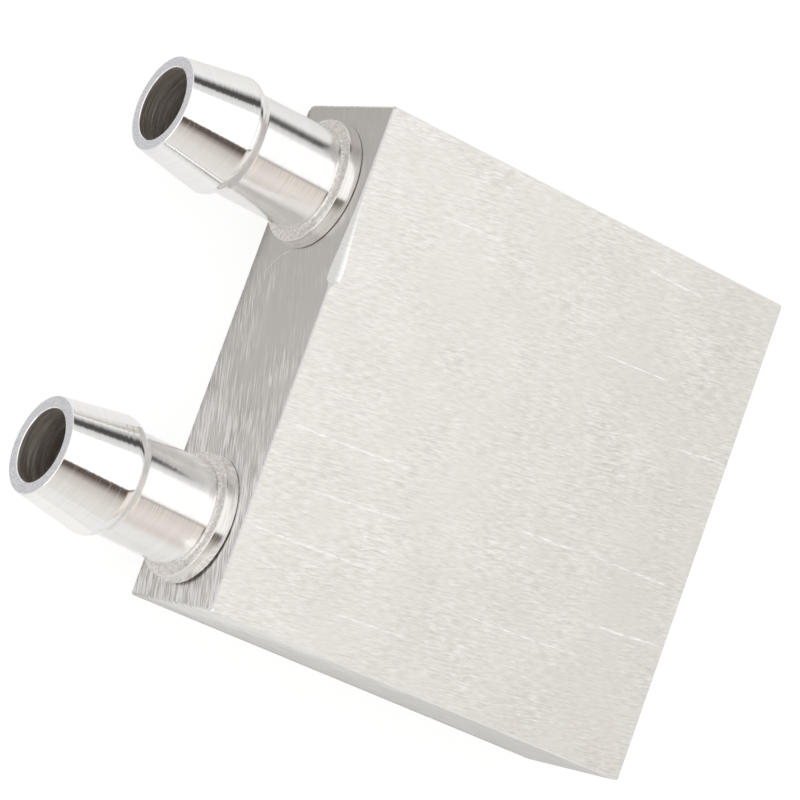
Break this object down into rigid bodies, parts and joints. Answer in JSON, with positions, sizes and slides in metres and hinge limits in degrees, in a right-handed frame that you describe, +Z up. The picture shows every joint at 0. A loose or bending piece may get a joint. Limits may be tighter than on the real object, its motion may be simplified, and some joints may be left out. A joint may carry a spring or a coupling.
{
  "type": "liquid cooling cold plate",
  "caption": "Square milled aluminium cold plate with a finned U-shaped coolant channel, an inlaid cover and barbed hose nozzles on one edge face.",
  "frame": {"origin": "centre of the block's back face, the face that holds the inlaid cover and that the plate lies on", "axes": "+Z up through the plate's thickness, out of the cold face; +X away from the hose nozzles, which point along -X; +Y across the plate, from the outlet nozzle towards the inlet nozzle"},
  "size_m": [0.0551, 0.04, 0.012],
  "materials": {
    "brushed_aluminium": "belt-sanded bare aluminium, fine straight brush lines with stray scratches, satin",
    "turned_aluminium": "lathe-turned and polished bare aluminium, bright with soft turning marks",
    "cured_sealant": "cured dark sealant, satin, in thin lines only"
  },
  "bodies": {
    "root": {"block_body": "brushed_aluminium", "cover_plate": "brushed_aluminium", "cover_bond_line": "cured_sealant", "inlet_nozzle": "turned_aluminium", "outlet_nozzle": "turned_aluminium", "inlet_seal": "cured_sealant", "outlet_seal": "cured_sealant"}
  },
  "joints": []
}
